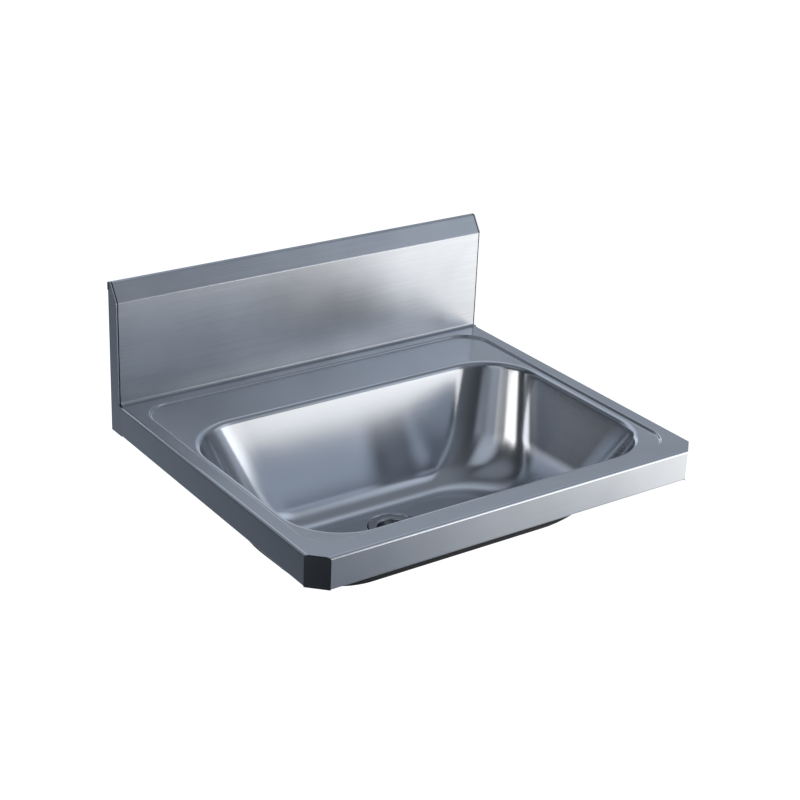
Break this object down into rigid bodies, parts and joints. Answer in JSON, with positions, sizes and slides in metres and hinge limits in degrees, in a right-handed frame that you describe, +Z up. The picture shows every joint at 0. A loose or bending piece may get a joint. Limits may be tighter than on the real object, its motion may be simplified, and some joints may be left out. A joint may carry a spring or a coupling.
{
  "type": "wall-hung hand wash basin",
  "caption": "Wall-hung stainless steel hand wash basin with a raised rim, a deep rounded bowl, a sloped-top splashback, a wall rail to hang on and a plain grid waste.",
  "frame": {"origin": "on the wall face, midway between the two screw slots of the wall rail", "axes": "+X along the wall to the viewer's right, +Y into the wall, so the basin projects towards -Y, +Z up"},
  "size_m": [0.5266, 0.45, 0.338],
  "materials": {
    "basin_steel": "brushed",
    "bracket_steel": "mill",
    "rail_steel": "mill",
    "sound_pad": "matt, fine grained",
    "fastener_steel": "bright zinc",
    "waste_metal": "satin plated",
    "waste_rubber": "matt",
    "backnut_brass": "machined"
  },
  "bodies": {
    "wall_rail": {"wall_rail": "rail_steel"},
    "basin": {"deck_and_bowl": "basin_steel", "corner_plate_left": "basin_steel", "corner_plate_right": "basin_steel", "splashback": "basin_steel", "splash_end_left": "basin_steel", "splash_end_right": "basin_steel", "sound_pads": "sound_pad", "deck_stiffener": "bracket_steel", "hook_channel": "bracket_steel", "lower_tab_left": "bracket_steel", "lower_tab_right": "bracket_steel", "earth_tag": "bracket_steel", "earth_screw": "fastener_steel", "earth_washer": "fastener_steel", "earth_nut": "fastener_steel", "waste_body": "waste_metal", "waste_flange_seal": "waste_rubber", "waste_lower_seal": "waste_rubber", "waste_backnut": "backnut_brass"}
  },
  "joints": [
    {"name": "lift_off", "type": "slide", "parent": "wall_rail", "child": "basin", "axis": [0, 0, 1], "range_m": [0, 0.018]}
  ]
}
